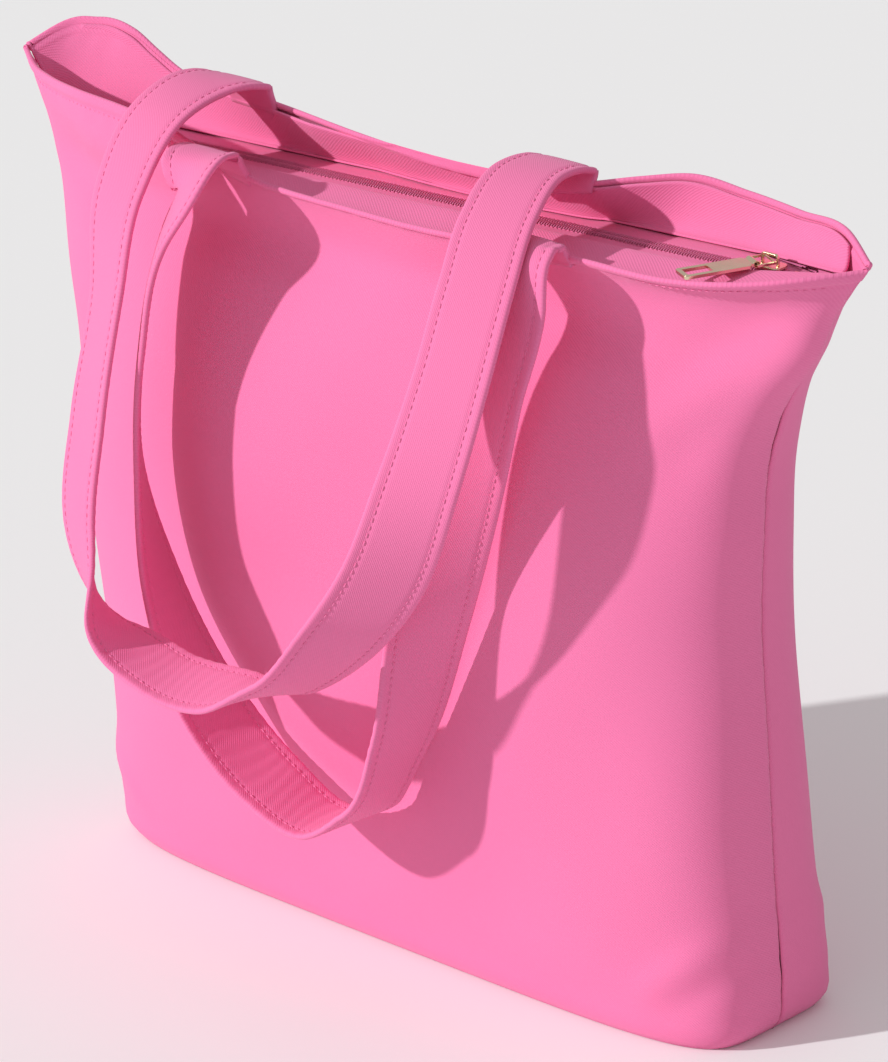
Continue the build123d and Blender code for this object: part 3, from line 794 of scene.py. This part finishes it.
def coil_stitches(side):
    """Chain of thread that holds half of the coil on its tape."""
    x = np.linspace(ZIP_LEFT, ZIP_RIGHT, 300)
    line = np.stack([x, np.full_like(x, side * 4.4), zip_height(x) + 0.2], 1)
    up = np.broadcast_to(np.array([0.0, 0.0, 1.0]), line.shape)
    name = NAMES[side] + "_coil_stitches"
    piece = dressed(stitch_row(name, [line], [up], 2.0, 0.5, 0.3), THREAD_FINISH)
    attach(piece, "bag")
    return piece


def softened(node, body, width):
    """A casting with its edges broken: the CAD solid, merged and bevelled."""
    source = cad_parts[node]
    mesh = source.data.copy()
    shell = bmesh.new()
    shell.from_mesh(mesh)
    bmesh.ops.remove_doubles(shell, verts=shell.verts, dist=1e-6)
    bmesh.ops.dissolve_limit(shell, angle_limit=math.radians(2), verts=shell.verts, edges=shell.edges)
    shell.to_mesh(mesh)
    shell.free()
    piece = bpy.data.objects.new(node + "_casting", mesh)
    bpy.context.scene.collection.objects.link(piece)
    bevel = piece.modifiers.new("edges", "BEVEL")
    bevel.width = width
    bevel.segments = 3
    bevel.limit_method = "ANGLE"
    bevel.angle_limit = math.radians(35)
    bevel.harden_normals = False
    mesh.polygons.foreach_set("use_smooth", np.ones(len(mesh.polygons), bool))
    weighted = piece.modifiers.new("flats", "WEIGHTED_NORMAL")
    weighted.keep_sharp = False
    dressed(piece, METAL_FINISH)
    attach(piece, body)
    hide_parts(node)


# --- Handles -----------------------------------------------------------------

def strap_frame(side, at):
    """Middle of a handle at shares of its length, with the directions along
    it, across it and out of it. The line is smooth through its stations."""
    places = np.array([station[0] for station in HANDLES[side]])
    turns = np.array([station[1] for station in HANDLES[side]])
    keys = travelled(places)
    reach = at * keys[-1]
    middle = curve(keys, places, reach)
    across = curve(keys, turns, reach)
    ahead = unit(np.gradient(middle, axis=0))
    across = unit(across - ahead * (across * ahead).sum(1, keepdims=True))
    return middle, across, unit(np.cross(ahead, across)), keys[-1]


def handle(side):
    """A handle: canvas folded into a flat strap with rounded edges, drawn in
    along its stitch rows and finely puckered where it bends round its foot."""
    at = np.linspace(0, 1, 420)
    middle, across, out, length = strap_frame(side, at)
    half = STRAP_WIDTH / 2 - STRAP / 2
    place = np.linspace(-half, half, 40)
    run = (at * length)[:, None]
    foot = np.exp(-(((at - 0.5) / 0.22) ** 2))[:, None]
    row = np.exp(-(((np.abs(place) - (STRAP_WIDTH / 2 - ROW_INSET)) / 1.1) ** 2))
    crown = 0.35 * (1 - (place / half) ** 2)
    drawn = 0.1 * np.sin(run / 0.9 + 1.3 * np.sin(run / 7)) * np.exp(-(((np.abs(place) - 15) / 2.5) ** 2))
    crumple = 0.3 * foot * np.sin(run / 1.1 + 0.06 * place + 2 * np.sin(run / 11 + place / 9))
    slow = 0.6 * np.sin(run / 37 + place / 16) * np.sin(math.pi * at)[:, None]
    outer_height = STRAP / 2 + crown - 0.4 * row + drawn + slow
    inner_height = -STRAP / 2 - crown * 0.4 + 0.35 * row + crumple * 0.5 + slow
    spread = middle[:, None] + across[:, None] * place[None, :, None]
    top = spread - out[:, None] * outer_height[..., None]
    under = spread - out[:, None] * inner_height[..., None]
    top, under = rolled(top, under, both_edges=True)
    wide = np.concatenate([[place[0]] * 2, place, [place[-1]] * 2])
    cloth = np.stack(np.broadcast_arrays(run, wide + STRAP_WIDTH), -1)
    name = NAMES[side] + "_handle_strap"
    piece = dressed(closed_cloth(name, top, under, cloth), STRAP_FINISH)
    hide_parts(NAMES[side] + "_handle")
    return piece


def handle_stitches(side):
    """Two rows of topstitching, seen on both faces of a handle."""
    at = np.linspace(0.01, 0.99, 700)
    middle, across, out, _ = strap_frame(side, at)
    edge = STRAP_WIDTH / 2 - ROW_INSET
    length = travelled(middle)[-1] / (at[-1] - at[0])
    run = at * length
    slow = np.sin(math.pi * at)
    lines = []
    normals = []
    for place in (edge, -edge):
        wave = 0.6 * np.sin(run / 37 + place / 16) * slow
        crown = 0.35 * (1 - (place / (STRAP_WIDTH / 2 - STRAP / 2)) ** 2)
        lines.append(middle + across * place - out * (STRAP / 2 + crown - 0.4 + wave + 0.12)[:, None])
        normals.append(-out)
        lines.append(middle + across * place - out * (-STRAP / 2 - crown * 0.4 + 0.35 + wave - 0.12)[:, None])
        normals.append(out)
    name = NAMES[side] + "_handle_stitches"
    piece = dressed(stitch_row(name, lines, normals), THREAD_FINISH)
    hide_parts(NAMES[side] + "_handle_stitching")
    return piece


def handle_roots(side):
    """The ends of a handle, rising from between the panel and its facing to
    the place where the strap turns over the rim."""
    for k, word in ((0, "left"), (-1, "right")):
        root = HANDLES[side][k][0]
        half = STRAP_WIDTH / 2 - 0.9
        x = root[0] + np.linspace(-half, half, 24)
        rim = rim_place(side, x)
        share = np.linspace(0, 1, 8)
        low_y = rim[:, :1] - side * 2.2
        low_z = rim[:, 1:] - 4.0
        y = low_y + (root[1] + side * 0.2 - low_y) * smooth(share, 0, 1)
        z = low_z + (root[2] + 0.2 - low_z) * share
        middle = np.stack([np.broadcast_to(x[:, None], y.shape), y, z], -1)
        normals = facing_out(middle, -side)
        cloth = np.stack(np.broadcast_arrays(x[:, None] - root[0] + half, share * 20.0), -1)
        thick = STRAP / 2 - 0.1
        name = f"{NAMES[side]}_handle_{word}_root"
        piece = closed_cloth(name, middle + normals * thick, middle - normals * thick, cloth)
        dressed(piece, STRAP_FINISH)
        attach(piece, "bag")
    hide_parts(NAMES[side] + "_handle_ends")


# --- Putting it together -------------------------------------------------------

pieces = {}
for side in (FRONT, BACK):
    name = NAMES[side]
    pieces[name, "panel"] = panel(side)
    pieces[name, "hem"] = hem_stitches(side)
    pieces[name, "facing"] = facing(side)
    pieces[name, "facing row"] = facing_stitches(side)
    pieces[name, "tape"] = tape(side)
    coil(side)
    pieces[name, "coil row"] = coil_stitches(side)
    handle_roots(side)
    pieces[name, "handle"] = handle(side)
    pieces[name, "handle rows"] = handle_stitches(side)

# The straps turn over the rim; their placement is baked into their meshes and those of their stitch rows
for side in (FRONT, BACK):
    name = NAMES[side]
    for part in ("handle", "handle rows"):
        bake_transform(pieces[name, part])

softened("zip_slider_body", "slider", 0.0005)
softened("slider_crown", "slider", 0.0003)
softened("pull_link", "pull_loop", 0.0003)
softened("pull_tab", "pull", 0.0003)
softened("zip_top_stops", "bag", 0.0003)
softened("zip_bottom_stop", "bag", 0.0003)

for node in ("left_side_seam", "right_side_seam", "bottom_seam", "left_corner_seam", "right_corner_seam"):
    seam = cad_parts[node]
    seam.data.materials.clear()
    seam.data.materials.append(TAPE_FINISH)

for side in (FRONT, BACK):
    name = NAMES[side]

# --- Floor, light and camera -----------------------------------------------------

floor_mesh = bpy.data.meshes.new("floor")
wide = 12.0                # metres either way
floor_mesh.from_pydata(
    [(-wide, -wide, 0), (wide, -wide, 0), (wide, wide, 0), (-wide, wide, 0)], [], [(0, 1, 2, 3)])
floor = bpy.data.objects.new("floor", floor_mesh)
bpy.context.scene.collection.objects.link(floor)
floor_finish = Finish("pale floor", {"Base Color": (0.93, 0.93, 0.93, 1.0), "Roughness": 0.9})
floor_mesh.materials.append(floor_finish.material)

world = bpy.data.worlds.new("pale studio")
bpy.context.scene.world = world
world.use_nodes = True
world.node_tree.nodes["Background"].inputs[0].default_value = (1.0, 0.985, 0.99, 1.0)
world.node_tree.nodes["Background"].inputs[1].default_value = 0.5

sun_data = bpy.data.lights.new("key", "SUN")
sun_data.energy = 2.75
sun_data.angle = math.radians(1.6)
sun = bpy.data.objects.new("key", sun_data)
bpy.context.scene.collection.objects.link(sun)
sun.rotation_euler = Vector((-0.50, -0.74, 0.42)).to_track_quat("Z", "Y").to_euler()

bpy.context.scene.view_settings.view_transform = "Standard"

camera_data = bpy.data.cameras.new("camera")
camera = bpy.data.objects.new("camera", camera_data)
bpy.context.scene.collection.objects.link(camera)
bpy.context.scene.camera = camera
azimuth = math.radians(46.0)
elevation = math.radians(21.7)
roll = math.radians(-3.2)
back = Vector((
    math.sin(azimuth) * math.cos(elevation), -math.cos(azimuth) * math.cos(elevation), math.sin(elevation)))
right = Vector((math.cos(azimuth), math.sin(azimuth), 0.0))
up = back.cross(right)
turned_right = right * math.cos(roll) + up * math.sin(roll)
turned_up = up * math.cos(roll) - right * math.sin(roll)
target = Vector(MIDDLE) + Vector((0.002, 0.0, 0.194))
turn = Matrix((turned_right, turned_up, back)).transposed().to_4x4()
camera.matrix_world = Matrix.Translation(target + back * 2.727) @ turn
camera_data.sensor_fit = "VERTICAL"
camera_data.sensor_height = 36.0
camera_data.lens = 200.8
